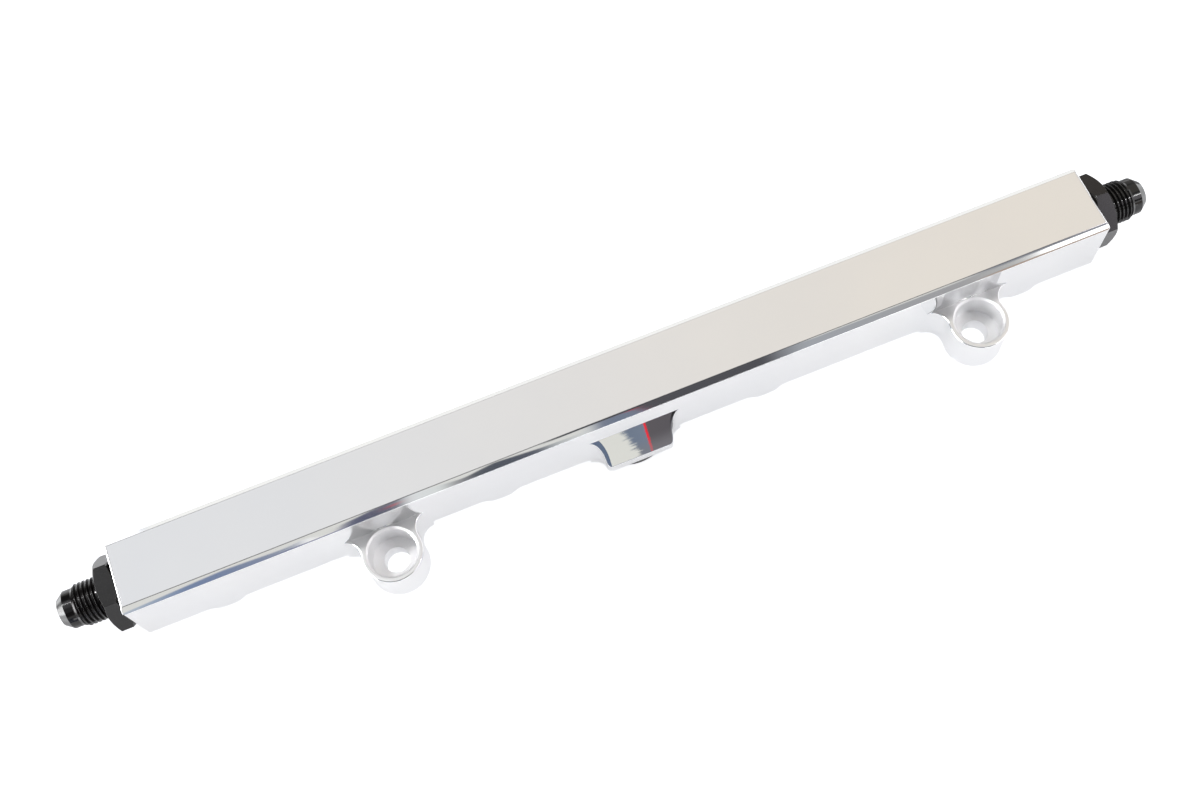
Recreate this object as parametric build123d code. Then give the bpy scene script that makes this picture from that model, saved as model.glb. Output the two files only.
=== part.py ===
from build123d import *
from math import atan2, cos, degrees, pi, radians, sqrt, tan
import os

# A billet fuel rail with a hose adapter in each end and a blanking plug in its third port.
# Millimetres. X runs along the rail, +Y points away from the bolt ears, +Z is up.
# The origin lies midway between the two mounting bolts, on the plane of the mounting feet.

# Bar
bar_length = 338.0
bar_width = 25.0
bar_height = 25.0
top_chamfer = 2.0
end_roll = 1.2  # the top edge at each end is polished round
end_break = 0.35
foot_drop = 3.3  # the feet and injector bosses reach this far below the bar
main_bore_radius = 6.35

# Injector bosses
injector_count = 4
injector_pitch = 95.0
boss_radius = 12.9
boss_rim_break = 0.5
cup_radius = 7.0
cup_depth = 8.5
cup_lead_in = 1.0
feed_hole_radius = 3.5

# Bolt ears
bolt_spacing = 206.0
bolt_centre_offset = 16.5  # the bolts' midpoint, from the rail's middle towards +X
bolt_reach = 8.7  # bolt axis to the bar's side face
ear_radius = 10.0
ear_height = 14.8
ear_root_fillet = 5.2
ear_edge_round = 0.5
bolt_hole_radius = 4.25
counterbore_radius = 7.9
counterbore_depth = 9.0
counterbore_rim = 0.7

# Port pad in the middle of the side face
pad_half_width = 16.0
pad_reach = 5.5
pad_root_fillet = 4.2
pad_corner_radius = 1.5
pad_height = 17.1  # where its slope starts at the side face
pad_lip_height = 3.9  # where the slope ends at its front

# O-ring ports, one in each end and one under the pad
port_radius = 9.525
port_depth = 14.0
middle_port_depth = 11.0
seat_radius = 10.31
seat_depth = 2.4

# Studs and seals that fill the ports
stud_clearance = 0.12
stud_length = 12.5
plug_stud_length = 9.0
stud_tip_chamfer = 1.0
neck_radius = 7.9
neck_length = 2.6
ring_half_width = 1.15
ring_clearance = 0.1

# Hose adapters
hex_across_flats = 22.225
hex_length = 6.0
hex_chamfer_angle = 30.0
left_hex_turn = 36.3
right_hex_turn = -3.7
hose_thread_radius = 7.144
hose_thread_end = 9.55  # measured from the hexagon's outer face
relief_radius = 6.35
relief_length = 1.5
land_radius = 6.3
land_length = 2.85
flare_angle = 37.0
flare_length = 2.5
adapter_bore_radius = 3.77

# Blanking plug
flange_radius = 15.0
flange_thickness = 3.0
flange_edge_break = 0.4
key_across_flats = 9.525
key_depth = 5.5

# Places that follow from the sizes above
margin = 1.0  # how far a cutter or a root runs past the face that it meets
rail_x = -bolt_centre_offset
side_y = bolt_reach
rail_y = side_y + bar_width / 2
bar_base_z = foot_drop
rail_top_z = bar_base_z + bar_height
axis_z = bar_base_z + bar_height / 2
pad_front_y = side_y - pad_reach
port_y = (pad_front_y + side_y + bar_width) / 2
injector_xs = [
    rail_x + (index - (injector_count - 1) / 2) * injector_pitch
    for index in range(injector_count)
]
bolt_xs = [-bolt_spacing / 2, bolt_spacing / 2]
stud_radius = port_radius - stud_clearance


def turned(points):
    """A solid of revolution about Z from (radius, height) corners."""
    outline = Polyline([(radius, 0, height) for radius, height in points], close=True)
    return revolve(make_face(outline), Axis.Z)


def box_between(low, high):
    """A box from its low corner to its high corner."""
    size = [top - base for base, top in zip(low, high)]
    middle = [(top + base) / 2 for base, top in zip(low, high)]
    return Pos(*middle) * Box(*size)


def hexagon(across_flats, length, turn):
    """A hexagonal prism that stands on the XY plane, turned about Z."""
    profile = RegularPolygon(across_flats / 2, 6, major_radius=False)
    return extrude(Rot(0, 0, turn) * profile, length)


def bar():
    """The square bar: its long top edges are chamfered and its ends' top edges are rolled over."""
    block = box_between(
        (rail_x - bar_length / 2, side_y, bar_base_z),
        (rail_x + bar_length / 2, side_y + bar_width, rail_top_z),
    )
    long_top_edges = block.faces().sort_by(Axis.Z)[-1].edges().filter_by(Axis.X)
    block = chamfer(long_top_edges, top_chamfer)
    end_faces = block.faces().sort_by(Axis.X)
    end_edges = end_faces[0].edges() + end_faces[-1].edges()
    block = chamfer(end_edges.filter_by(Axis.Z) + end_edges.group_by(Axis.Z)[0], end_break)
    return fillet(block.edges().filter_by(Axis.Y).group_by(Axis.Z)[-1], end_roll)


def injector_boss(x):
    """A round boss, milled flush with both side faces of the bar."""
    height = foot_drop + margin
    rim_radius = boss_radius - boss_rim_break
    disc = turned([(0, 0), (rim_radius, 0), (boss_radius, boss_rim_break), (boss_radius, height), (0, height)])
    slab = box_between((-boss_radius, -bar_width / 2, 0), (boss_radius, bar_width / 2, height))
    return Pos(x, rail_y, 0) * (disc & slab)


def foot(x, half_width):
    """The full-width foot that is left under the bar behind an ear or the pad."""
    return box_between(
        (x - half_width, side_y, 0),
        (x + half_width, side_y + bar_width, foot_drop + margin),
    )


def ear(x):
    """A bolt ear that runs into the side face through two round fillets."""
    fillet_y = side_y - ear_root_fillet
    half_root = sqrt((ear_radius + ear_root_fillet) ** 2 - fillet_y**2)
    turn = degrees(atan2(fillet_y, half_root))
    outline = [
        CenterArc((-half_root, fillet_y), ear_root_fillet, 90, -90 - turn),
        CenterArc((0, 0), ear_radius, 180 - turn, 180 + 2 * turn),
        CenterArc((half_root, fillet_y), ear_root_fillet, 180 + turn, -90 - turn),
        Polyline(
            (half_root, side_y),
            (half_root, side_y + margin),
            (-half_root, side_y + margin),
            (-half_root, side_y),
        ),
    ]
    block = extrude(make_face(outline), ear_height)
    block = fillet(block.faces().sort_by(Axis.Z)[-1].edges(), ear_edge_round)
    return Pos(x, 0, 0) * block + foot(x, half_root)


def port_pad():
    """The pad round the middle port, with a flat slope down from the side face."""
    half_front = pad_half_width - pad_root_fillet
    fillet_y = side_y - pad_root_fillet
    corner_x = half_front - pad_corner_radius
    corner_y = pad_front_y + pad_corner_radius
    outline = [
        CenterArc((-pad_half_width, fillet_y), pad_root_fillet, 90, -90),
        Line((-half_front, fillet_y), (-half_front, corner_y)),
        CenterArc((-corner_x, corner_y), pad_corner_radius, 180, 90),
        Line((-corner_x, pad_front_y), (corner_x, pad_front_y)),
        CenterArc((corner_x, corner_y), pad_corner_radius, 270, 90),
        Line((half_front, corner_y), (half_front, fillet_y)),
        CenterArc((pad_half_width, fillet_y), pad_root_fillet, 180, -90),
        Polyline(
            (pad_half_width, side_y),
            (pad_half_width, side_y + margin),
            (-pad_half_width, side_y + margin),
            (-pad_half_width, side_y),
        ),
    ]
    block = Pos(rail_x, 0, 0) * extrude(make_face(outline), pad_height)
    steepness = (pad_height - pad_lip_height) / pad_reach
    above_slope = Plane.YZ * Polyline(
        (side_y, pad_height),
        (side_y, pad_height + margin),
        (pad_front_y - margin, pad_height + margin),
        (pad_front_y - margin, pad_lip_height - steepness * margin),
        close=True,
    )
    block -= Pos(rail_x, 0, 0) * extrude(make_face(above_slope), pad_half_width + margin, both=True)
    return block + foot(rail_x, pad_half_width)


def bolt_cutter():
    """A through hole with a counterbore for the bolt's head."""
    seat_z = ear_height - counterbore_depth
    rim_z = ear_height - counterbore_rim
    mouth_radius = counterbore_radius + counterbore_rim + margin
    return turned([
        (0, -margin),
        (bolt_hole_radius, -margin),
        (bolt_hole_radius, seat_z),
        (counterbore_radius, seat_z),
        (counterbore_radius, rim_z),
        (mouth_radius, ear_height + margin),
        (0, ear_height + margin),
    ])


def injector_cutter():
    """An injector cup with a lead-in, and its feed hole up into the main bore."""
    return turned([
        (0, -margin),
        (cup_radius + cup_lead_in + margin, -margin),
        (cup_radius, cup_lead_in),
        (cup_radius, cup_depth),
        (feed_hole_radius, cup_depth),
        (feed_hole_radius, axis_z),
        (0, axis_z),
    ])


def port_cutter(depth):
    """An O-ring port that is cut upwards from Z = 0."""
    seat_slope = (seat_radius - port_radius) / seat_depth
    mouth_radius = seat_radius + seat_slope * margin
    return turned([
        (0, -margin),
        (mouth_radius, -margin),
        (port_radius, seat_depth),
        (port_radius, depth),
        (0, depth),
    ])


def rail_body():
    """The billet, with its passages cut through it."""
    body = bar() + port_pad()
    for x in injector_xs:
        body += injector_boss(x)
    for x in bolt_xs:
        body += ear(x)
    body -= Pos(rail_x, rail_y, axis_z) * Cylinder(main_bore_radius, bar_length, rotation=(0, 90, 0))
    body -= left_end() * port_cutter(port_depth)
    body -= right_end() * port_cutter(port_depth)
    body -= middle_port() * port_cutter(middle_port_depth)
    for x in injector_xs:
        body -= Pos(x, rail_y, 0) * injector_cutter()
    for x in bolt_xs:
        body -= Pos(x, 0, 0) * bolt_cutter()
    return body


def left_end():
    """The left port's place: its local Z runs into the rail."""
    return Location((rail_x - bar_length / 2, rail_y, axis_z), (0, 90, 0))


def right_end():
    """The right port's place: its local Z runs into the rail."""
    return Location((rail_x + bar_length / 2, rail_y, axis_z), (0, -90, 0))


def middle_port():
    """The middle port's place: its local Z runs up into the rail."""
    return Location((rail_x, port_y, 0))


def stud(length):
    """A stud that fills an O-ring port from Z = 0, with a neck for its seal."""
    return turned([
        (0, 0),
        (neck_radius, 0),
        (neck_radius, neck_length),
        (stud_radius - stud_tip_chamfer, neck_length),
        (stud_radius, neck_length + stud_tip_chamfer),
        (stud_radius, length - stud_tip_chamfer),
        (stud_radius - stud_tip_chamfer, length),
        (0, length),
    ])


def seal():
    """An O-ring, squeezed between a stud's neck and the port's conical seat."""
    middle_depth = seat_depth / 2
    cone_radius = (seat_radius + port_radius) / 2
    half_height = (cone_radius - neck_radius - ring_clearance) / 2
    section = Plane.XZ * Pos(neck_radius + half_height, middle_depth) * Ellipse(half_height, ring_half_width)
    return revolve(section, Axis.Z)


def hose_adapter(hex_turn):
    """A hexagon adapter from an O-ring port to a flared hose end."""
    face_z = -hex_length
    thread_z = face_z - relief_length
    thread_end_z = face_z - hose_thread_end
    land_end_z = thread_end_z - land_length
    tip_z = land_end_z - flare_length
    thread_chamfer = hose_thread_radius - land_radius
    tip_radius = land_radius - flare_length * tan(radians(flare_angle))
    nose = turned([
        (0, face_z),
        (relief_radius, face_z),
        (relief_radius, thread_z + thread_chamfer),
        (hose_thread_radius, thread_z),
        (hose_thread_radius, thread_end_z + thread_chamfer),
        (land_radius, thread_end_z),
        (land_radius, land_end_z),
        (tip_radius, tip_z),
        (0, tip_z),
    ])
    corner_radius = hex_across_flats / 2 / cos(pi / 6)
    corner_drop = (corner_radius - hex_across_flats / 2) * tan(radians(hex_chamfer_angle))
    barrel = turned([
        (0, face_z),
        (hex_across_flats / 2, face_z),
        (corner_radius, face_z + corner_drop),
        (corner_radius, -corner_drop),
        (hex_across_flats / 2, 0),
        (0, 0),
    ])
    head = Pos(0, 0, face_z) * hexagon(hex_across_flats, hex_length, hex_turn) & barrel
    bore_length = stud_length - tip_z + 2 * margin
    bore = Pos(0, 0, (stud_length + tip_z) / 2) * Cylinder(adapter_bore_radius, bore_length)
    return nose + head + stud(stud_length) - bore


def port_plug():
    """A flanged blanking plug with a hexagonal key socket."""
    flange = turned([
        (0, -flange_thickness),
        (flange_radius - flange_edge_break, -flange_thickness),
        (flange_radius, flange_edge_break - flange_thickness),
        (flange_radius, 0),
        (0, 0),
    ])
    socket = Pos(0, 0, -flange_thickness) * hexagon(key_across_flats, key_depth, 0)
    return flange + stud(plug_stud_length) - socket


parts = {
    "rail_body": rail_body(),
    "left_adapter": left_end() * hose_adapter(left_hex_turn),
    "right_adapter": right_end() * hose_adapter(right_hex_turn),
    "left_adapter_o_ring": left_end() * seal(),
    "right_adapter_o_ring": right_end() * seal(),
    "port_plug": middle_port() * port_plug(),
    "port_plug_o_ring": middle_port() * seal(),
}

os.makedirs("parts", exist_ok=True)
for name, solid in parts.items():
    export_step(solid, f"parts/{name}.step")
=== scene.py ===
"""Looks of the fuel rail: polished billet, black anodised hose adapters and plug, rubber seals."""

import math

import bmesh
import bpy
from mathutils import Matrix, Vector


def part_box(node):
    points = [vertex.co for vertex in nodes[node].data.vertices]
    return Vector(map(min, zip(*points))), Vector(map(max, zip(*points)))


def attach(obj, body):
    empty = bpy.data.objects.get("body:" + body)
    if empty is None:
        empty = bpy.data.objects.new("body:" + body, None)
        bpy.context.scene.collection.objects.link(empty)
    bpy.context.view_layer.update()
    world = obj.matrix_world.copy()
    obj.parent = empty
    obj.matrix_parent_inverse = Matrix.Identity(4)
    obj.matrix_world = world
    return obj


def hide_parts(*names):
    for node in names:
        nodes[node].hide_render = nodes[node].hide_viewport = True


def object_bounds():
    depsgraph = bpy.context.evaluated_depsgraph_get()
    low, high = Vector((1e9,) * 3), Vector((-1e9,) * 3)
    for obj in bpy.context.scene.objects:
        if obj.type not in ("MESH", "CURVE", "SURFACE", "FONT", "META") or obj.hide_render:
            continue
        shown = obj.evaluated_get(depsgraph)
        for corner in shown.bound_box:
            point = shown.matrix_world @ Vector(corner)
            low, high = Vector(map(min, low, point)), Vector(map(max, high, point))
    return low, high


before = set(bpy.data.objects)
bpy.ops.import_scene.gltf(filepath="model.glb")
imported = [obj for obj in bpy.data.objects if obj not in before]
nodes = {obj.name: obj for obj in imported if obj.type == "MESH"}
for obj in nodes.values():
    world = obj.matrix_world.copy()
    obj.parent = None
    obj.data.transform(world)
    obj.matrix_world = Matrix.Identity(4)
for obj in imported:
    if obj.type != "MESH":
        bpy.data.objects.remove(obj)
cad_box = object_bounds()
MM = 0.001

# Rail, as its parts lie in the frame
RAIL_LOW, RAIL_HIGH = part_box("rail_body")
BAR_WIDTH = 25.0 * MM
TOP_CHAMFER = 2.0 * MM
SIDE_Y = RAIL_HIGH.y - BAR_WIDTH
RAIL_Y = RAIL_HIGH.y - BAR_WIDTH / 2
TOP_Z = RAIL_HIGH.z
AXIS_Z = TOP_Z - BAR_WIDTH / 2
MIDDLE_X = (RAIL_LOW.x + RAIL_HIGH.x) / 2
EAR_TOP_Z = 14.8 * MM
BOLT_SPACING = 206.0 * MM
EAR_REACH = 28.0 * MM
EAR_ROOT_REACH = 15.2 * MM
RIM_RADIUS = 8.6 * MM
PAD_HALF_WIDTH = 16.0 * MM
PAD_ROOT_FILLET = 4.2 * MM
PAD_ROOT_Z = 17.1 * MM
PAD_LIP_Z = 3.9 * MM

# Finish of the billet, and metal colours that paint a highlight in the bores and shade and reflections
# elsewhere. MASK_EDGE is half the width of the sharpest step between two finishes
MASK_EDGE = 0.02 * MM
SATIN_SHARES = {"ear_top": 1.0, "ear_wall": 0.6, "bored": 1.7}
COOL_METAL = (0.905, 0.91, 0.92)
PALE_METAL = (0.93, 0.93, 0.93)
# Lighter metal in the bores: a painted highlight on the counterbore rims
PAINTED_HIGHLIGHT_METAL = (0.985, 0.985, 0.99)
# Dark metal that paints shade on the ear tops and paints the ear tops' reflection on the side face
PAINTED_SHADE_METAL = (0.42, 0.42, 0.43)

# The ear's image in the side face grows narrower by the taper over this rise
EAR_IMAGE_RISE = 3.5 * MM
EAR_IMAGE_TAPER = 4.4 * MM

# Shares of painted shade and painted reflection: behind the left bolt, all behind the right bolt and more
# beside it, and the left top
LEFT_PAINTED_SHADE_MIDDLE = 0.36
RIGHT_PAINTED_SHADE = 0.15
RIGHT_PAINTED_SHADE_BESIDE = 0.5
LEFT_TOP_PAINTED_SHADE = 0.25
BESIDE_BOLT = (4.0 * MM, 8.0 * MM)
CREASE_REACH = (6.0 * MM, 2.5 * MM)

# Buffing turns the chamfer's normal across it, and leans it outwards along the slope's left and right sides
CHAMFER_ROUND = 0.0247 / MM
PAD_ROLLS = {-1: 1.35 * MM, 1: 0.6 * MM}
PAD_ROLL_LEAN = 0.21

# Hose adapters, each measured from the rail's end face along its own axis
HEX_APOTHEM = 22.225 * MM / 2
HEX_LENGTH = 6.0 * MM
HEX_CHAMFER = math.radians(30)
HEX_TURNS = {"left_adapter": math.radians(23.7), "right_adapter": math.radians(3.7)}
WASHER_RADIUS = 0.985 * HEX_APOTHEM
THREAD_RADIUS = 7.144 * MM
THREAD_PITCH = 25.4 * MM / 18
THREAD_DEPTH = 0.61 * THREAD_PITCH
RELIEF_RADIUS = 6.2 * MM
RELIEF_END = HEX_LENGTH + 0.9 * MM
THREAD_END = HEX_LENGTH + 9.55 * MM
LAND_RADIUS = 6.3 * MM
LAND_END = THREAD_END + 2.85 * MM
FLARE_LENGTH = 2.5 * MM
FLARE_ANGLE = math.radians(37)
ADAPTER_BORE = 3.77 * MM

# Ring at the thread's end: its rise and length, its depth in the land, and its cover over the thread's end
END_RING_RISE = 0.37 * MM
END_RING = 0.8 * MM
RING_ROOT = 0.3 * MM
RING_COVER = 0.1 * MM
RING_LAP = 0.01 * MM

# Stud in the rail, and how finely everything is turned
STUD_RADIUS = 9.405 * MM
STUD_LENGTH = 12.5 * MM
STUD_CHAMFER = 1.0 * MM
NECK_RADIUS = 7.9 * MM
NECK_LENGTH = 2.6 * MM
TURN_STEPS = 96
WELD_DISTANCE = 0.002 * MM
SHARP_ANGLE = math.radians(25)

# Camera, in the frame's own axes
CAMERA_PLACE = Vector((-65.56, -155.84, 452.11)) * MM
CAMERA_RIGHT = Vector((0.92806319, -0.36761438, -0.05965215))
CAMERA_FORWARD = Vector((0.08979115, 0.3763153, -0.92213033))
LENS = 43.367
SENSOR = 36.0


# Shader building

def new_material(name):
    """A material with only a Principled BSDF, and its node tree's parts."""
    material = bpy.data.materials.new(name)
    material.use_nodes = True
    tree = material.node_tree
    return material, tree, tree.nodes["Principled BSDF"]


def add(tree, kind, **values):
    """A node with settings by attribute name, or by input name where it has one."""
    node = tree.nodes.new(kind)
    for key, value in values.items():
        if key in node.inputs:
            node.inputs[key].default_value = value
        else:
            setattr(node, key, value)
    return node


def math_node(tree, operation, first, second=0.0):
    """One Math node, fed by sockets or by numbers."""
    node = tree.nodes.new("ShaderNodeMath")
    node.operation = operation
    for slot, value in enumerate((first, second)):
        if isinstance(value, (int, float)):
            node.inputs[slot].default_value = value
        else:
            tree.links.new(value, node.inputs[slot])
    return node.outputs[0]


def product(tree, first, *others):
    """Values or masks multiplied together."""
    for other in others:
        first = math_node(tree, "MULTIPLY", first, other)
    return first


def added(tree, first, *others):
    """Values added up."""
    for other in others:
        first = math_node(tree, "ADD", first, other)
    return first


def larger(tree, first, second):
    """The larger of two values, which joins two masks."""
    return math_node(tree, "MAXIMUM", first, second)


def opposite(tree, mask):
    """One less a mask."""
    return math_node(tree, "SUBTRACT", 1.0, mask)


def size_of(tree, value):
    """A value without its sign."""
    return math_node(tree, "ABSOLUTE", value)


def length_of(tree, first, second):
    """The length of a two-part offset."""
    squares = added(tree, product(tree, first, first), product(tree, second, second))
    return math_node(tree, "SQRT", squares)


def mix_colour(tree, factor, first, second):
    """A colour mix, fed by sockets or by plain colours."""
    node = tree.nodes.new("ShaderNodeMix")
    node.data_type = "RGBA"
    for socket, value in ((node.inputs[0], factor), (node.inputs[6], first), (node.inputs[7], second)):
        if isinstance(value, bpy.types.NodeSocket):
            tree.links.new(value, socket)
        elif isinstance(value, (int, float)):
            socket.default_value = value
        else:
            socket.default_value = (*value, 1.0)
    return node.outputs[2]


def smooth_step(tree, value, start, end):
    """A mask that goes from zero at the start to one at the end, whichever of them is higher."""
    step = add(tree, "ShaderNodeMapRange", interpolation_type="SMOOTHSTEP")
    tree.links.new(value, step.inputs["Value"])
    step.inputs["From Min"].default_value = start
    step.inputs["From Max"].default_value = end
    return step.outputs[0]


def band(tree, value, low, high, soft):
    """A mask that is one between low and high, with soft edges."""
    rise = smooth_step(tree, value, low - soft, low + soft)
    fall = smooth_step(tree, value, high + soft, high - soft)
    return product(tree, rise, fall)


def window(tree, across, up, bands):
    """A mask of a rectangle, from a band across and a band up: each is low, high and softness."""
    across_band, up_band = bands
    return product(tree, band(tree, across, *across_band), band(tree, up, *up_band))


def lean(tree, normal, amount, way):
    """A normal leaned by an amount along a fixed direction."""
    push = add(tree, "ShaderNodeVectorMath", operation="SCALE")
    push.inputs[0].default_value = way
    tree.links.new(amount, push.inputs["Scale"])
    total = add(tree, "ShaderNodeVectorMath", operation="ADD")
    tree.links.new(normal, total.inputs[0])
    tree.links.new(push.outputs[0], total.inputs[1])
    unit = add(tree, "ShaderNodeVectorMath", operation="NORMALIZE")
    tree.links.new(total.outputs[0], unit.inputs[0])
    return unit.outputs[0]


def new_group(name, inputs, outputs):
    """An empty shader group with its sockets, given as (name, kind, default)."""
    group = bpy.data.node_groups.new(name, "ShaderNodeTree")
    for socket_name, kind, default in inputs:
        socket = group.interface.new_socket(socket_name, in_out="INPUT", socket_type=kind)
        if default is not None:
            socket.default_value = default
    for socket_name, kind in outputs:
        group.interface.new_socket(socket_name, in_out="OUTPUT", socket_type=kind)
    return group, group.nodes.new("NodeGroupInput"), group.nodes.new("NodeGroupOutput")


def place_group(tree, group, **values):
    """A group in a tree, with values for its inputs (spaces written as underscores)."""
    node = tree.nodes.new("ShaderNodeGroup")
    node.node_tree = group
    for key, value in values.items():
        socket = node.inputs[key.replace("_", " ")]
        if isinstance(value, bpy.types.NodeSocket):
            tree.links.new(value, socket)
        else:
            socket.default_value = value
    return node


def hairline_group():
    """Fine lines along X, as a buffing wheel or a milling cutter leaves: a height from 0 to 1."""
    group, enter, leave = new_group(
        "hairlines",
        [
            ("Place", "NodeSocketVector", None),
            ("Fineness", "NodeSocketFloat", 3000.0),
            ("Stretch", "NodeSocketFloat", 0.02),
        ],
        [("Height", "NodeSocketFloat")],
    )
    scale = add(group, "ShaderNodeCombineXYZ", Y=1.0, Z=1.0)
    group.links.new(enter.outputs["Stretch"], scale.inputs["X"])
    stretched = add(group, "ShaderNodeVectorMath", operation="MULTIPLY")
    group.links.new(enter.outputs["Place"], stretched.inputs[0])
    group.links.new(scale.outputs[0], stretched.inputs[1])
    noise = add(group, "ShaderNodeTexNoise", Detail=3.0, Roughness=0.6)
    group.links.new(stretched.outputs[0], noise.inputs["Vector"])
    group.links.new(enter.outputs["Fineness"], noise.inputs["Scale"])
    group.links.new(noise.outputs["Fac"], leave.inputs["Height"])
    return group


def cloud_group():
    """Slow uneven patches, as handling leaves on a finish: a mask between Low and High."""
    group, enter, leave = new_group(
        "clouds",
        [
            ("Place", "NodeSocketVector", None),
            ("Size", "NodeSocketFloat", 60.0),
            ("Low", "NodeSocketFloat", 0.0),
            ("High", "NodeSocketFloat", 1.0),
        ],
        [("Mask", "NodeSocketFloat")],
    )
    noise = add(group, "ShaderNodeTexNoise", Detail=4.0, Roughness=0.55)
    group.links.new(enter.outputs["Place"], noise.inputs["Vector"])
    group.links.new(enter.outputs["Size"], noise.inputs["Scale"])
    spread = add(group, "ShaderNodeMapRange")
    spread.inputs["From Min"].default_value = 0.3
    spread.inputs["From Max"].default_value = 0.7
    group.links.new(noise.outputs["Fac"], spread.inputs["Value"])
    group.links.new(enter.outputs["Low"], spread.inputs["To Min"])
    group.links.new(enter.outputs["High"], spread.inputs["To Max"])
    group.links.new(spread.outputs[0], leave.inputs["Mask"])
    return group


HAIRLINES = hairline_group()
CLOUDS = cloud_group()


def separated(tree, vector):
    """A vector's three parts."""
    parts = add(tree, "ShaderNodeSeparateXYZ")
    tree.links.new(vector, parts.inputs[0])
    return parts.outputs


def billet_zones(tree, place):
    """The billet's kinds of surface as masks by name, with the places that they come from."""
    x, y, z = separated(tree, place)
    in_front = smooth_step(tree, y, SIDE_Y - MASK_EDGE, SIDE_Y - 4 * MASK_EDGE)
    on_side = band(tree, y, SIDE_Y - 0.05 * MM, SIDE_Y + 0.05 * MM, MASK_EDGE)

    from_bolt = added(tree, size_of(tree, x), -BOLT_SPACING / 2)
    beside_bolt = size_of(tree, from_bolt)
    near_ear = smooth_step(tree, beside_bolt, EAR_REACH + 1.0 * MM, EAR_REACH - 1.0 * MM)
    over_top = smooth_step(tree, z, EAR_TOP_Z - 4 * MASK_EDGE, EAR_TOP_Z - 2 * MASK_EDGE)
    above_ear = product(tree, near_ear, over_top)
    ear_top = product(tree, in_front, above_ear)

    # The side face mirrors the ear's top, whose fillets make it narrower higher up
    up_wall = smooth_step(tree, z, EAR_TOP_Z, EAR_TOP_Z + EAR_IMAGE_RISE)
    spread = added(tree, beside_bolt, product(tree, up_wall, EAR_IMAGE_TAPER))
    in_image = smooth_step(tree, spread, EAR_ROOT_REACH, EAR_ROOT_REACH - 1.0 * MM)
    ear_wall = product(tree, on_side, above_ear, in_image)

    from_axis = length_of(tree, from_bolt, y)
    in_rim = smooth_step(tree, from_axis, RIM_RADIUS + 0.03 * MM, RIM_RADIUS - 0.03 * MM)
    bored = product(tree, opposite(tree, ear_top), in_rim)

    pad_width = band(tree, x, MIDDLE_X - PAD_HALF_WIDTH, MIDDLE_X + PAD_HALF_WIDTH, MASK_EDGE)
    slope = product(tree, in_front, pad_width, band(tree, z, PAD_LIP_Z, PAD_ROOT_Z, 0.05 * MM))
    return {
        "x": x, "y": y, "z": z, "beside_bolt": beside_bolt, "in_image": in_image,
        "ear_top": ear_top, "ear_wall": ear_wall, "bored": bored, "slope": slope,
    }


def billet_roughness(tree, place, zones):
    """A mirror polish, left satin on the ear tops and softer in the bores."""
    rough = place_group(tree, CLOUDS, Place=place, Size=55.0, Low=0.03, High=0.065).outputs[0]
    satin = place_group(tree, CLOUDS, Place=place, Size=180.0, Low=0.28, High=0.40).outputs[0]
    for name, share in SATIN_SHARES.items():
        rough = added(tree, rough, product(tree, zones[name], satin, share))
    return rough


def billet_colour(tree, place, zones):
    """Pale metal, with a painted highlight in the bores, painted shade on the ear tops' inner parts and on
    the left ear top, and a painted reflection of the ear tops where the side face mirrors them.
    """
    tint = place_group(tree, CLOUDS, Place=place, Size=25.0, Low=0.0, High=1.0).outputs[0]
    colour = mix_colour(tree, tint, COOL_METAL, PALE_METAL)
    # Painted highlight: the bores are lighter metal
    colour = mix_colour(tree, zones["bored"], colour, PAINTED_HIGHLIGHT_METAL)

    on_right = smooth_step(tree, zones["x"], -10 * MM, 10 * MM)
    on_left = opposite(tree, on_right)
    beside = smooth_step(tree, zones["beside_bolt"], *BESIDE_BOLT)
    left_share = product(tree, opposite(tree, beside), LEFT_PAINTED_SHADE_MIDDLE, on_left)
    right_share = product(tree, added(tree, product(tree, beside, RIGHT_PAINTED_SHADE_BESIDE), RIGHT_PAINTED_SHADE), on_right)
    share = product(tree, added(tree, left_share, right_share), zones["in_image"])

    # Painted reflection of the ear tops on the side face, painted shade in the crease on their inner parts
    # and on the left ear top
    inner = smooth_step(tree, zones["y"], *(SIDE_Y - reach for reach in CREASE_REACH))
    crease = product(tree, zones["ear_top"], inner)
    painted_shade = product(tree, larger(tree, zones["ear_wall"], crease), share)
    left_top = product(tree, zones["ear_top"], on_left, LEFT_TOP_PAINTED_SHADE)
    return mix_colour(tree, larger(tree, painted_shade, left_top), colour, PAINTED_SHADE_METAL)


def buffed_normal(tree, zones):
    """A normal for the chamfer and the slope's two long sides, which buffing leaves slightly round."""
    soft_edge = add(tree, "ShaderNodeBevel", samples=8, Radius=0.35 * MM)
    chamfer_foot = TOP_Z - TOP_CHAMFER
    on_chamfer = product(
        tree,
        band(tree, zones["y"], SIDE_Y, SIDE_Y + TOP_CHAMFER, MASK_EDGE),
        smooth_step(tree, zones["z"], chamfer_foot - MASK_EDGE, chamfer_foot + MASK_EDGE),
    )
    across = added(tree, zones["y"], zones["z"], -SIDE_Y - TOP_Z)
    normal = lean(tree, soft_edge.outputs[0], product(tree, across, on_chamfer, CHAMFER_ROUND), (0, 1, 1))
    for side, roll in PAD_ROLLS.items():
        from_side = added(tree, product(tree, added(tree, zones["x"], -MIDDLE_X), side), -PAD_HALF_WIDTH)
        in_fillet = larger(tree, added(tree, zones["y"], PAD_ROOT_FILLET - SIDE_Y), 0.0)
        inside = added(tree, length_of(tree, from_side, in_fillet), -PAD_ROOT_FILLET)
        rolled = smooth_step(tree, inside, roll + 0.1 * MM, roll - 0.15 * MM)
        normal = lean(tree, normal, product(tree, rolled, zones["slope"], PAD_ROLL_LEAN), (side, 0, 0))
    return normal


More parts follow.
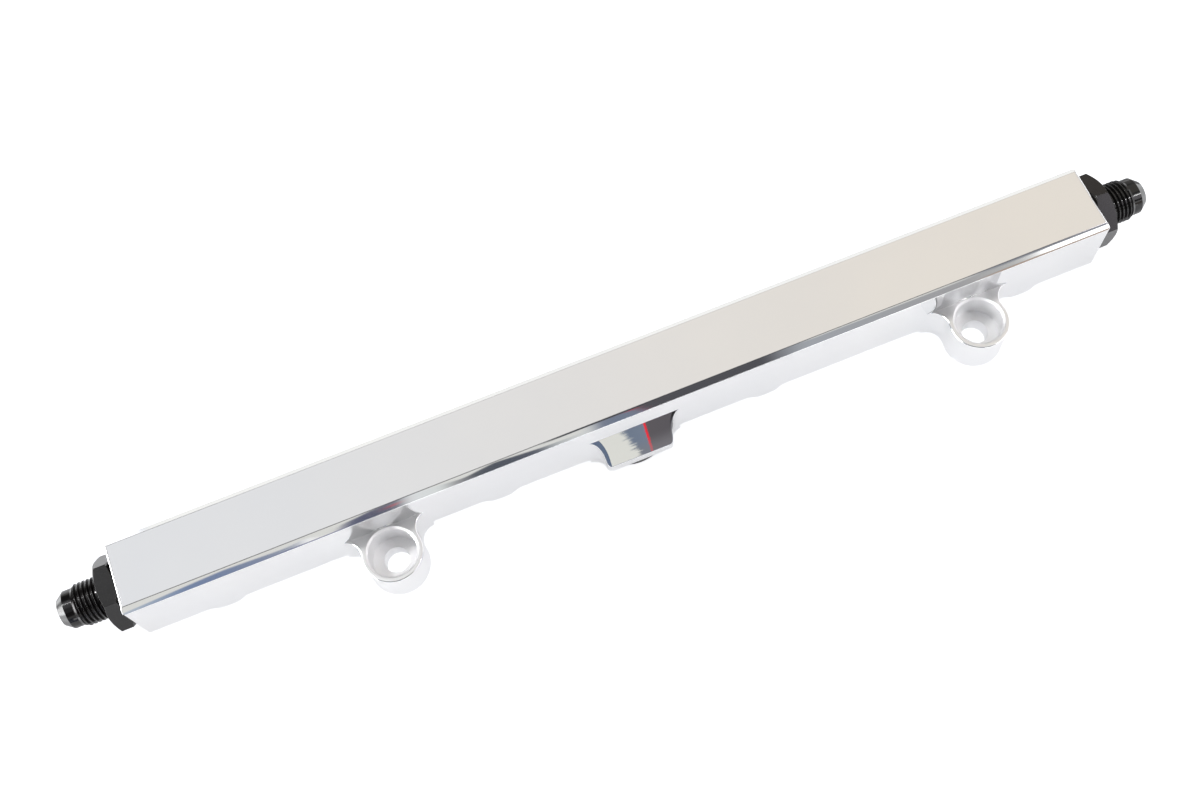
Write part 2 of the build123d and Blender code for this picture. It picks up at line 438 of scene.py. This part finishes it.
def polished_aluminium():
    """Mirror-polished billet, with satin ear tops and a slope brushed along the rail."""
    material, tree, shader = new_material("polished_aluminium")
    links = tree.links
    shader.inputs["Metallic"].default_value = 1.0
    place = add(tree, "ShaderNodeTexCoord").outputs["Object"]
    zones = billet_zones(tree, place)
    links.new(billet_roughness(tree, place, zones), shader.inputs["Roughness"])
    links.new(billet_colour(tree, place, zones), shader.inputs["Base Color"])

    lines = place_group(tree, HAIRLINES, Place=place, Fineness=1500.0, Stretch=0.03)
    brushed = product(tree, zones["slope"], 0.85)
    matted = product(tree, zones["ear_top"], 0.2)
    bump = add(tree, "ShaderNodeBump", Strength=0.35, Distance=0.012 * MM)
    links.new(product(tree, lines.outputs[0], added(tree, brushed, matted, 0.1)), bump.inputs["Height"])
    links.new(buffed_normal(tree, zones), bump.inputs["Normal"])
    links.new(bump.outputs[0], shader.inputs["Normal"])
    return material


def black_anodised():
    """Glossy black anodised aluminium with a fine grain on its flats."""
    material, tree, shader = new_material("black_anodised")
    links = tree.links
    shader.inputs["Metallic"].default_value = 0.0
    shader.inputs["IOR"].default_value = 1.5
    place = add(tree, "ShaderNodeTexCoord").outputs["Object"]
    fade = place_group(tree, CLOUDS, Place=place, Size=300.0, Low=0.0, High=1.0).outputs[0]
    dye = mix_colour(tree, fade, (0.004, 0.0035, 0.0035), (0.009, 0.008, 0.0078))
    links.new(dye, shader.inputs["Base Color"])
    grain = place_group(tree, CLOUDS, Place=place, Size=4200.0, Low=0.09, High=0.17)
    links.new(grain.outputs[0], shader.inputs["Roughness"])
    bump = add(tree, "ShaderNodeBump", Strength=0.3, Distance=0.02 * MM)
    links.new(grain.outputs[0], bump.inputs["Height"])
    soft_edge = add(tree, "ShaderNodeBevel", samples=6, Radius=0.18 * MM)
    links.new(soft_edge.outputs[0], bump.inputs["Normal"])
    links.new(bump.outputs[0], shader.inputs["Normal"])
    return material


def seal_rubber():
    """Smooth black rubber."""
    material, tree, shader = new_material("seal_rubber")
    links = tree.links
    place = add(tree, "ShaderNodeTexCoord").outputs["Object"]
    bloom = place_group(tree, CLOUDS, Place=place, Size=400.0, Low=0.0, High=1.0).outputs[0]
    rubber = mix_colour(tree, bloom, (0.012, 0.012, 0.012), (0.022, 0.022, 0.023))
    links.new(rubber, shader.inputs["Base Color"])
    sheen = place_group(tree, CLOUDS, Place=place, Size=900.0, Low=0.4, High=0.55)
    links.new(sheen.outputs[0], shader.inputs["Roughness"])
    return material


ALUMINIUM = polished_aluminium()
ANODISED = black_anodised()
RUBBER = seal_rubber()


def dress(node_name, material):
    """Gives a CAD node its finish."""
    slots = nodes[node_name].data.materials
    slots.clear()
    slots.append(material)


dress("rail_body", ALUMINIUM)
dress("port_plug", ANODISED)
for seal_name in ("left_adapter_o_ring", "right_adapter_o_ring", "port_plug_o_ring"):
    dress(seal_name, RUBBER)


# Hose adapters with a cut thread, each modelled along +Z and then turned into place

def chain_of(bm, corners):
    """An open chain of edges through (radius, height) corners, and its vertices."""
    chain = [bm.verts.new((radius, 0, height)) for radius, height in corners]
    return chain + [bm.edges.new(pair) for pair in zip(chain, chain[1:])]


def turn_chain(bm, corners, turns=1, climb=0.0):
    """Turns a chain about Z, climbing by a pitch each turn if it's a thread."""
    bmesh.ops.spin(
        bm, geom=chain_of(bm, corners), cent=(0, 0, 0), axis=(0, 0, 1),
        dvec=(0, 0, climb / TURN_STEPS), angle=2 * math.pi * turns, steps=TURN_STEPS * turns,
        use_merge=climb == 0, use_normal_flip=False, use_duplicate=False,
    )


def trimmed_radius(radius, height, low, high):
    """The thread's radius at a height, with its turns run out at both ends and cut back for the ring."""
    under_ring = high - END_RING - height
    if height == high:
        return LAND_RADIUS
    if under_ring <= 0:
        return min(radius, LAND_RADIUS - RING_COVER)
    return min(radius, RELIEF_RADIUS + height - low, LAND_RADIUS + END_RING_RISE + under_ring)


def cut_thread(bm, low, high):
    """A helical thread from one height to another."""
    root = THREAD_RADIUS - THREAD_DEPTH
    flat = THREAD_PITCH / 8
    flank = (THREAD_PITCH - 3 * flat) / 2
    turns = math.ceil((high - low) / THREAD_PITCH) + 2
    start = low - 1.5 * THREAD_PITCH
    profile = [
        (root, start),
        (root, start + 2 * flat),
        (THREAD_RADIUS, start + 2 * flat + flank),
        (THREAD_RADIUS, start + 3 * flat + flank),
        (root, start + THREAD_PITCH),
    ]
    turn_chain(bm, profile, turns, THREAD_PITCH)
    for vert in bm.verts:
        height = min(max(vert.co.z, low), high)
        radius = math.hypot(vert.co.x, vert.co.y)
        scale = trimmed_radius(radius, height, low, high) / radius
        vert.co = Vector((vert.co.x * scale, vert.co.y * scale, height))


def hex_radius(angle):
    """The hexagon's radius in a direction, with a corner at angle zero."""
    offset = angle % (math.pi / 3) - math.pi / 6
    return HEX_APOTHEM / math.cos(offset)


def hexagon_head(bm):
    """The hexagon's sides, with round chamfers that leave a washer face at each end."""
    bmesh.ops.create_circle(bm, cap_ends=False, segments=TURN_STEPS, radius=WASHER_RADIUS)
    edges = [edge for edge in bm.edges if edge.is_wire]
    for level in ("inner", "outer", "face"):
        grown = bmesh.ops.extrude_edge_only(bm, edges=edges)["geom"]
        edges = [item for item in grown if isinstance(item, bmesh.types.BMEdge)]
        for vert in [item for item in grown if isinstance(item, bmesh.types.BMVert)]:
            angle = math.atan2(vert.co.y, vert.co.x)
            radius = hex_radius(angle)
            drop = (radius - WASHER_RADIUS) * math.tan(HEX_CHAMFER)
            if level == "face":
                radius = WASHER_RADIUS
            height = {"inner": drop, "outer": HEX_LENGTH - drop, "face": HEX_LENGTH}[level]
            vert.co = Vector((math.cos(angle) * radius, math.sin(angle) * radius, height))


def finished(bm, name, place):
    """Merges and closes a bmesh, marks its sharp edges and puts it in its place."""
    bmesh.ops.remove_doubles(bm, verts=bm.verts, dist=WELD_DISTANCE)
    bmesh.ops.dissolve_degenerate(bm, edges=bm.edges, dist=WELD_DISTANCE / 2)
    bmesh.ops.transform(bm, matrix=place, verts=bm.verts)
    bmesh.ops.recalc_face_normals(bm, faces=bm.faces)
    for face in bm.faces:
        face.smooth = True
    for edge in bm.edges:
        edge.smooth = edge.calc_face_angle(0) < SHARP_ANGLE
    return placed_mesh(bm, name)


def placed_mesh(bm, name):
    """An object with a bmesh's shape, at the origin."""
    mesh = bpy.data.meshes.new(name)
    bm.to_mesh(mesh)
    bm.free()
    piece = bpy.data.objects.new(name, mesh)
    bpy.context.scene.collection.objects.link(piece)
    return piece


def hose_adapter(node_name, end_x, towards):
    """A hexagon adapter: stud, hexagon, relief, thread, land and flare, with its bore."""
    bm = bmesh.new()
    cut_thread(bm, RELIEF_END, THREAD_END)
    ring_root = LAND_RADIUS - RING_ROOT
    ring_top = THREAD_END + RING_LAP
    turn_chain(bm, [
        (ring_root, ring_top),
        (LAND_RADIUS, ring_top),
        (LAND_RADIUS + END_RING_RISE, ring_top - END_RING),
        (ring_root, ring_top - END_RING),
        (ring_root, ring_top),
    ])
    hexagon_head(bm)
    turn_chain(bm, [(WASHER_RADIUS, HEX_LENGTH), (RELIEF_RADIUS, HEX_LENGTH), (RELIEF_RADIUS, RELIEF_END)])
    tip = LAND_END + FLARE_LENGTH
    tip_radius = LAND_RADIUS - FLARE_LENGTH * math.tan(FLARE_ANGLE)
    turn_chain(bm, [
        (LAND_RADIUS, THREAD_END),
        (LAND_RADIUS, LAND_END),
        (tip_radius, tip),
        (ADAPTER_BORE, tip),
        (ADAPTER_BORE, -STUD_LENGTH),
        (STUD_RADIUS - STUD_CHAMFER, -STUD_LENGTH),
        (STUD_RADIUS, STUD_CHAMFER - STUD_LENGTH),
        (STUD_RADIUS, -NECK_LENGTH - STUD_CHAMFER),
        (STUD_RADIUS - STUD_CHAMFER, -NECK_LENGTH),
        (NECK_RADIUS, -NECK_LENGTH),
        (NECK_RADIUS, 0),
        (WASHER_RADIUS, 0),
    ])
    turned = Matrix.Rotation(HEX_TURNS[node_name], 4, "Z")
    tipped = Matrix.Rotation(towards * math.pi / 2, 4, "Y")
    place = Matrix.Translation((end_x, RAIL_Y, AXIS_Z)) @ tipped @ turned
    piece = finished(bm, node_name + "_threaded", place)
    piece.data.materials.append(ANODISED)
    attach(piece, "root")
    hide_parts(node_name)


hose_adapter("left_adapter", RAIL_LOW.x, -1)
hose_adapter("right_adapter", RAIL_HIGH.x, 1)


# Studio. What the polished faces show is laid out by the place along the rail, in millimetres,
# where the chamfer shows it, and by the angle about the rail's axis in degrees: 0 ahead, 90 overhead,
# 180 behind. A band is low, high and softness.

# Colours of its walls
WHITE = (1.0, 1.0, 1.0)
STAND_BLACK = (0.06, 0.06, 0.065)
WALL_GREY = (0.30, 0.305, 0.32)
FAR_WALL_GREY = (0.70, 0.68, 0.66)
REAR_GREY = (0.50, 0.49, 0.47)
CEILING_COOL = (0.80, 0.81, 0.83)
CEILING_WARM = (0.83, 0.775, 0.70)
FRAME_BROWN = (0.10, 0.09, 0.09)
OVER_PANELS = (0.74, 0.74, 0.71)
OVER_RIGHT_PANELS = (0.26, 0.27, 0.30)
PANEL_DARK = (0.085, 0.085, 0.095)
LINE_RED = (0.50, 0.05, 0.08)
END_GLARE = (1.3, 1.3, 1.3)
LEFT_GLARE = (11.0, 11.0, 11.0)

# Bands of angles, from ahead over the top to behind
FRONT_BAND = (-1.0, 33.0, 1.0)
STAND_BAND = (27.6, 56.0, 0.8)
WALL_BAND = (56.0, 82.0, 3.0)
CEILING_BAND = (82.0, 134.0, 3.0)
REAR_BAND = (134.0, 148.0, 3.0)
FAR_WALL_BAND = (148.0, 176.0, 3.0)
LEFT_REAR_BAND = (124.0, 165.0, 3.0)

# Places along the rail between which a colour fades in
CEILING_WARMING = (-190, 150)
REAR_BRIGHTENING = (-150, 120)
LEFT_REAR = (-125, -155)
RIGHT_PANELS = (90, 112)
RIGHT_OUTSIDE = (389, 416)
LEFT_OUTSIDE = (-449, -494)
RIGHT_END = (834, 1042)
LEFT_END = (-926, -1135)
LEFT_LAMP = (-900, -1050)

# Frames under the ceiling: band along the rail, and how dark they are
RIGHT_FRAME = (285, 389, 12)
RIGHT_FRAME_SHARE = 0.62
LEFT_FRAME = (-449, -333, 15)
LEFT_FRAME_SHARE = 0.25

# A mirrored direction's slant along the rail becomes a place by a reach and a foot, seen at a tilt
VIEW_REACH = 447.4
VIEW_FOOT = -64.45
VIEW_TILT = 0.72

# Spans of the ramps: along the panels, up the panels, along the pad's card
PANEL_SPAN = 500.0
PANEL_TOP_SPAN = 60.0
PAD_SPAN = 40.0

# Panels in front of the table: place, colour
STUDIO_PANELS = [
    (-215, (0.95, 0.95, 0.95)),
    (-188, (0.62, 0.64, 0.66)),
    (-178, (0.42, 0.49, 0.58)),
    (-160, (0.17, 0.23, 0.38)),
    (-138, (0.23, 0.27, 0.38)),
    (-127, (0.35, 0.38, 0.45)),
    (-124, (1.0, 1.0, 1.0)),
    (-115, (0.80, 0.80, 0.80)),
    (-110, (0.10, 0.11, 0.18)),
    (-93.5, (0.13, 0.13, 0.17)),
    (-90.5, (0.80, 0.82, 0.83)),
    (-80, (0.72, 0.75, 0.74)),
    (-75, (0.36, 0.36, 0.37)),
    (-68, (0.09, 0.10, 0.12)),
    (-48, (0.10, 0.11, 0.14)),
    (-42, (0.46, 0.48, 0.49)),
    (-31, (0.76, 0.77, 0.75)),
    (-27, (0.17, 0.20, 0.27)),
    (-11.5, (0.19, 0.23, 0.30)),
    (-9.5, (0.085, 0.085, 0.095)),
    (28, (0.09, 0.088, 0.10)),
    (42, (0.38, 0.40, 0.43)),
    (95, (0.36, 0.36, 0.37)),
    (118, (0.50, 0.50, 0.49)),
    (127, (1.0, 1.0, 1.0)),
    (200, (1.0, 1.0, 1.0)),
]

# How high the panels stand: place, degrees
PANEL_TOPS = [
    (-190, 14), (-150, 24), (-130, 19), (-124, 24), (-118, 13), (-115, 15), (-111, 22.5),
    (-106.5, 24.5), (-103, 27), (-96, 29), (-90, 30), (-72, 20), (-62, 27), (-46, 20),
    (-34, 18), (-30, 29), (-26, 40), (34, 40), (44, 26), (125, 24),
]

# The lower edge of the dark panel before the pad slopes down to the right, with a red line under it
SLOPING_EDGE = {"From Min": -15.0, "From Max": -10.9, "To Min": 25.4, "To Max": 12.0}
EDGE_SOFTNESS = 0.4
DARK_PANEL = (-44, 30, 4.0)
RED_LINE = ((-17.5, -10.5, 1.5), (-1.4, 0.2, 0.3))
RED_SPOT = ((-96.4, -93.8, 0.7), (19.0, 23.5, 0.7))

# Cards and lamps: band along the rail, band of angles, colour. An open one has no far edge.
# In front are a blue card at the foot, the long lamp, the right lamp and a brown strip. Behind are
# the right window and a grey card.
OPEN = 1.0e5
FRONT_CARDS = [
    ((-133, -110, 2.0), (-2.0, 14.4, 0.5), (0.08, 0.10, 0.22)),
    ((-106, 104, 4.0), (0.0, 9.0, 1.0), (3.0, 3.0, 3.0)),
    ((127, OPEN, 3.0), (15.0, 24.0, 0.6), (2.0, 2.0, 2.0)),
    ((106, OPEN, 6.0), (8.0, 16.1, 0.6), (0.40, 0.31, 0.25)),
]
REAR_CARDS = [
    ((141, OPEN, 9.0), (36.0, 57.0, 2.0), (2.3, 2.2, 2.35)),
    ((141, OPEN, 9.0), (150.0, 176.0, 2.0), (0.48, 0.43, 0.38)),
]

# The card on the floor ahead of the pad, which its slope shows: place, colour
PAD_PANELS = [
    (-19, (0.17, 0.21, 0.28)),
    (-12.9, (0.19, 0.23, 0.30)),
    (-12.7, (0.9, 0.03, 0.05)),
    (-12.1, (0.9, 0.03, 0.05)),
    (-11.9, (0.12, 0.11, 0.12)),
    (10, (0.105, 0.10, 0.11)),
]
PAD_BLUE = (0.13, 0.17, 0.25)
PAD_GREY = (0.23, 0.225, 0.24)
PAD_CREAM = (0.76, 0.76, 0.71)
PAD_BLACK = (0.02, 0.02, 0.02)
CREAM_EDGE = (-14.6, -13.2)
BLUE_EDGE = (-26.6, -26.0)
BLACK_EDGE = (-6.2, -5.5)
BLACK_FADE = (-19, -27)
BLUE_NEAR = (-10.5, -9.5)
GREY_NEAR = (-26, -12)
GREY_SHARE = 0.65

# How far its edges slant along the rail for each millimetre ahead, and how ragged brushing makes them
RED_SLANT = 0.136
RED_JITTER = 0.8
CREAM_SLANT = -0.0625
CREAM_JITTER = 7.5
BLUE_SLANT = -0.145
BLACK_SLANT = 0.286

# Cards on the floor: band along the rail, band ahead of the bolts or behind them
PAD_CARD = ((-80, 50, 2.0), (-60, -4.5, 0.6))
BLUE_CARD = ((-900, -150, 12), (-900, -80, 12))
REAR_CARD = ((-190, 240, 4.0), (40, 150, 2.0))
BLUE_CARD_COLOUR = (0.22, 0.27, 0.40)
REAR_CARD_DARK = (0.42, 0.42, 0.43)
REAR_CARD_PALE = (0.97, 0.97, 0.95)
REAR_CARD_EDGE = (84, 94)

# The table's half size, and how much it glows for the camera and for the metal, with where it does
FLOOR_HALF_SIZE = 3.0
CAMERA_GLOW = 0.6
NEAR_GLOW = 0.24
FAR_GLOW = 0.3
FAR_LEFT_GLOW = 9.0
LEFT_END_GLOW = 3.1
RIGHT_END_GLOW = 1.5
PAST_ENDS = (197, 252)
PAST_ENDS_BAND = (-55, 100, 10)
FAR_OFF = (30, 100)
FAR_LEFT = (-420, -520)
FAR_LEFT_BAND = (-70, 140, 10)

# Strip lamps: degrees about the rail, distance, middle, length, width, radiance
STRIP_LAMPS = [
    (108, 0.75, -0.53, 0.18, 0.05, 60.0),
    (63, 0.75, 0.62, 0.16, 0.05, 45.0),
]


def ramp_of(tree, value, stops, span):
    """A colour ramp over places within a span that is centred on zero."""
    ramp = add(tree, "ShaderNodeValToRGB")
    elements = ramp.color_ramp.elements
    first, last = stops[0][1], stops[-1][1]
    elements[0].position, elements[0].color = 0.0, (*first, 1)
    elements[1].position, elements[1].color = 1.0, (*last, 1)
    for place, colour in stops:
        elements.new(place / span + 0.5).color = (*colour, 1)
    share = added(tree, math_node(tree, "DIVIDE", value, span), 0.5)
    tree.links.new(share, ramp.inputs[0])
    return ramp.outputs[0]


def aslant(tree, along, ahead, slant):
    """A place along the rail, measured with lines that slant with the distance ahead of it."""
    return added(tree, along, product(tree, ahead, slant))


def pad_card(tree, along, ahead):
    """What the pad's slope mirrors: cream, blue, a red line and dark grey, as a colour and its mask."""
    comb = add(tree, "ShaderNodeTexNoise", noise_dimensions="1D", Scale=1.0, Detail=3.0)
    tree.links.new(ahead, comb.inputs["W"])
    jitter = added(tree, comb.outputs["Fac"], -0.5)
    fanned = added(tree, aslant(tree, along, ahead, RED_SLANT), product(tree, jitter, RED_JITTER))
    combed = added(tree, aslant(tree, along, ahead, CREAM_SLANT), product(tree, jitter, CREAM_JITTER))
    left_edge = aslant(tree, along, ahead, BLUE_SLANT)
    right_edge = aslant(tree, along, ahead, BLACK_SLANT)

    near = product(tree, smooth_step(tree, ahead, *GREY_NEAR), GREY_SHARE)
    colour = mix_colour(tree, near, ramp_of(tree, fanned, PAD_PANELS, PAD_SPAN), PAD_GREY)
    colour = mix_colour(tree, smooth_step(tree, combed, *CREAM_EDGE), PAD_CREAM, colour)
    colour = mix_colour(tree, smooth_step(tree, left_edge, *BLUE_EDGE), PAD_BLUE, colour)
    black = product(tree, smooth_step(tree, right_edge, *BLACK_EDGE), smooth_step(tree, ahead, *BLACK_FADE))
    colour = mix_colour(tree, black, colour, PAD_BLACK)
    colour = mix_colour(tree, smooth_step(tree, ahead, *BLUE_NEAR), colour, PAD_BLUE)
    return colour, window(tree, along, ahead, PAD_CARD)


def floor_cards(tree, along, ahead):
    """The cards that lie on the table for the metal to mirror, as a colour and its mask."""
    colour, mask = pad_card(tree, along, ahead)
    blue_left = window(tree, along, ahead, BLUE_CARD)
    colour = mix_colour(tree, blue_left, colour, BLUE_CARD_COLOUR)
    behind_rail = window(tree, along, ahead, REAR_CARD)
    farther = smooth_step(tree, ahead, *REAR_CARD_EDGE)
    colour = mix_colour(tree, behind_rail, colour, mix_colour(tree, farther, REAR_CARD_DARK, REAR_CARD_PALE))
    return colour, larger(tree, larger(tree, mask, blue_left), behind_rail)


def floor_glow(tree, along, ahead):
    """How bright the table looks to the metal: brighter past the rail's ends and far off."""
    off_middle = size_of(tree, added(tree, along, -MIDDLE_X / MM))
    on_right = smooth_step(tree, along, -10, 10)
    end_glow = added(tree, product(tree, on_right, RIGHT_END_GLOW - LEFT_END_GLOW), LEFT_END_GLOW)
    past_ends = product(tree, smooth_step(tree, off_middle, *PAST_ENDS), band(tree, ahead, *PAST_ENDS_BAND))
    far_off = smooth_step(tree, size_of(tree, ahead), *FAR_OFF)
    far_left = product(tree, smooth_step(tree, along, *FAR_LEFT), band(tree, ahead, *FAR_LEFT_BAND))
    return added(
        tree, product(tree, past_ends, end_glow), product(tree, far_off, FAR_GLOW),
        product(tree, far_left, FAR_LEFT_GLOW), NEAR_GLOW,
    )


def white_floor():
    """A white table top: plain white to the camera, with cards and glow for the metal alone."""
    bm = bmesh.new()
    bmesh.ops.create_grid(bm, x_segments=1, y_segments=1, size=FLOOR_HALF_SIZE)
    bmesh.ops.translate(bm, vec=(0, 0, cad_box[0].z), verts=bm.verts)
    floor = placed_mesh(bm, "floor")
    material, tree, shader = new_material("white_floor")
    links = tree.links
    tree.nodes.remove(shader)
    x, y, _ = separated(tree, add(tree, "ShaderNodeTexCoord").outputs["Object"])
    along = product(tree, x, 1 / MM)
    ahead = product(tree, y, 1 / MM)
    card_colour, card_mask = floor_cards(tree, along, ahead)

    path = add(tree, "ShaderNodeLightPath")
    to_camera = path.outputs["Is Camera Ray"]
    to_metal = product(tree, path.outputs["Is Glossy Ray"], opposite(tree, to_camera))
    camera_level = product(tree, to_camera, CAMERA_GLOW)
    metal_level = product(tree, to_metal, floor_glow(tree, along, ahead))
    paint = add(tree, "ShaderNodeBsdfDiffuse", Color=(0.92, 0.92, 0.93, 1))
    glow = add(tree, "ShaderNodeEmission", Color=(0.97, 0.985, 1.0, 1))
    links.new(added(tree, camera_level, metal_level), glow.inputs["Strength"])
    table = add(tree, "ShaderNodeAddShader")
    links.new(paint.outputs[0], table.inputs[0])
    links.new(glow.outputs[0], table.inputs[1])
    card = add(tree, "ShaderNodeEmission")
    links.new(card_colour, card.inputs["Color"])
    switch = add(tree, "ShaderNodeMixShader")
    links.new(product(tree, card_mask, to_metal), switch.inputs[0])
    links.new(table.outputs[0], switch.inputs[1])
    links.new(card.outputs[0], switch.inputs[2])
    links.new(switch.outputs[0], tree.nodes["Material Output"].inputs["Surface"])
    floor.data.materials.append(material)


def studio_places(tree):
    """Where a direction meets the studio: the place along the rail and the angle about it."""
    x, y, z = separated(tree, add(tree, "ShaderNodeTexCoord").outputs["Generated"])
    angle = math_node(tree, "ARCTAN2", z, product(tree, y, -1.0))
    turn = added(tree, product(tree, angle, 180 / math.pi), -VIEW_TILT)
    slant = math_node(tree, "DIVIDE", x, larger(tree, length_of(tree, y, z), 0.01))
    return added(tree, product(tree, slant, VIEW_REACH), VIEW_FOOT), turn


def hung_cards(tree, colour, along, turn, cards):
    """A colour with cards hung over it, each with its place, its angle and its own colour."""
    for along_band, turn_band, card_colour in cards:
        hung = window(tree, along, turn, (along_band, turn_band))
        colour = mix_colour(tree, hung, colour, card_colour)
    return colour


def studio_front(tree, along, turn):
    """The panels in front of the table, with the red lines, lamps and strips among them."""
    panels = ramp_of(tree, along, STUDIO_PANELS, PANEL_SPAN)
    top_stops = [(place, (top / PANEL_TOP_SPAN,) * 3) for place, top in PANEL_TOPS]
    tops = product(tree, ramp_of(tree, along, top_stops, PANEL_SPAN), PANEL_TOP_SPAN)
    above = math_node(tree, "SUBTRACT", turn, tops)
    over_panels = mix_colour(tree, smooth_step(tree, along, *RIGHT_PANELS), OVER_PANELS, OVER_RIGHT_PANELS)
    front = mix_colour(tree, smooth_step(tree, above, -1.5, 1.5), panels, over_panels)

    sloping = add(tree, "ShaderNodeMapRange")
    tree.links.new(along, sloping.inputs["Value"])
    for name, value in SLOPING_EDGE.items():
        sloping.inputs[name].default_value = value
    over = math_node(tree, "SUBTRACT", turn, sloping.outputs[0])
    above_edge = smooth_step(tree, over, -EDGE_SOFTNESS, EDGE_SOFTNESS)
    front = mix_colour(tree, product(tree, above_edge, band(tree, along, *DARK_PANEL)), front, PANEL_DARK)
    red = larger(tree, window(tree, along, over, RED_LINE), window(tree, along, turn, RED_SPOT))
    front = mix_colour(tree, red, front, LINE_RED)
    return hung_cards(tree, front, along, turn, FRONT_CARDS)


def studio_ceiling(tree, along):
    """A ceiling that goes from cool to warm along the rail, with a dark frame near each end."""
    ceiling = mix_colour(tree, smooth_step(tree, along, *CEILING_WARMING), CEILING_COOL, CEILING_WARM)
    right_frame = product(tree, band(tree, along, *RIGHT_FRAME), RIGHT_FRAME_SHARE)
    left_frame = product(tree, band(tree, along, *LEFT_FRAME), LEFT_FRAME_SHARE)
    ceiling = mix_colour(tree, larger(tree, right_frame, left_frame), ceiling, FRAME_BROWN)
    outside = larger(tree, smooth_step(tree, along, *RIGHT_OUTSIDE), smooth_step(tree, along, *LEFT_OUTSIDE))
    return mix_colour(tree, outside, ceiling, WHITE)


def studio_room(tree, along, turn):
    """All that the metal mirrors above the table."""
    front = studio_front(tree, along, turn)
    ceiling = studio_ceiling(tree, along)
    rear = mix_colour(tree, smooth_step(tree, along, *REAR_BRIGHTENING), STAND_BLACK, REAR_GREY)
    room = mix_colour(tree, band(tree, turn, *FRONT_BAND), WHITE, front)
    for turn_band, colour in (
        (STAND_BAND, STAND_BLACK),
        (WALL_BAND, WALL_GREY),
        (CEILING_BAND, ceiling),
        (FAR_WALL_BAND, FAR_WALL_GREY),
        (REAR_BAND, rear),
    ):
        room = mix_colour(tree, band(tree, turn, *turn_band), room, colour)
    left_rear = product(tree, smooth_step(tree, along, *LEFT_REAR), band(tree, turn, *LEFT_REAR_BAND))
    room = mix_colour(tree, left_rear, room, rear)
    ends = larger(tree, smooth_step(tree, along, *RIGHT_END), smooth_step(tree, along, *LEFT_END))
    room = mix_colour(tree, ends, room, END_GLARE)
    room = mix_colour(tree, smooth_step(tree, along, *LEFT_LAMP), room, LEFT_GLARE)
    return hung_cards(tree, room, along, turn, REAR_CARDS)


def studio_world():
    """White to the camera, pale grey to what is dull, and a furnished studio to the metal."""
    world = bpy.data.worlds.new("studio")
    bpy.context.scene.world = world
    world.use_nodes = True
    tree = world.node_tree
    tree.nodes.clear()
    path = add(tree, "ShaderNodeLightPath")
    room = studio_room(tree, *studio_places(tree))
    seen = mix_colour(tree, path.outputs["Is Glossy Ray"], (0.85, 0.85, 0.86), room)
    seen = mix_colour(tree, path.outputs["Is Camera Ray"], seen, WHITE)
    background = add(tree, "ShaderNodeBackground")
    tree.links.new(seen, background.inputs[0])
    output = add(tree, "ShaderNodeOutputWorld")
    tree.links.new(background.outputs[0], output.inputs[0])


def strip_light(turn, distance, middle, length, width, radiance):
    """A long narrow lamp parallel to the rail, at an angle about it, which lights only what is glossy."""
    light = bpy.data.lights.new("strip_light", "AREA")
    light.shape = "RECTANGLE"
    light.size = length
    light.size_y = width
    light.energy = radiance * math.pi * length * width
    lamp = bpy.data.objects.new("strip_light", light)
    bpy.context.scene.collection.objects.link(lamp)
    way = Vector((0, -math.cos(turn), math.sin(turn)))
    place = Vector((middle, RAIL_Y, AXIS_Z)) + way * distance
    lamp.matrix_world = Matrix.Translation(place) @ Matrix.Rotation(math.pi / 2 - turn, 4, "X")
    lamp.visible_diffuse = False


def main_camera():
    """A camera above the rail's front side, with the rail running up to the right."""
    camera = bpy.data.objects.new("camera", bpy.data.cameras.new("camera"))
    bpy.context.scene.collection.objects.link(camera)
    camera.data.lens = LENS
    camera.data.sensor_width = SENSOR
    camera.data.clip_start = 0.01
    up = CAMERA_RIGHT.cross(CAMERA_FORWARD)
    turn = Matrix((CAMERA_RIGHT, up, -CAMERA_FORWARD)).transposed().to_4x4()
    camera.matrix_world = Matrix.Translation(CAMERA_PLACE) @ turn
    bpy.context.scene.camera = camera


white_floor()
studio_world()
for degrees, *sizes in STRIP_LAMPS:
    strip_light(math.radians(degrees), *sizes)
main_camera()
bpy.context.scene.view_settings.view_transform = "Standard"
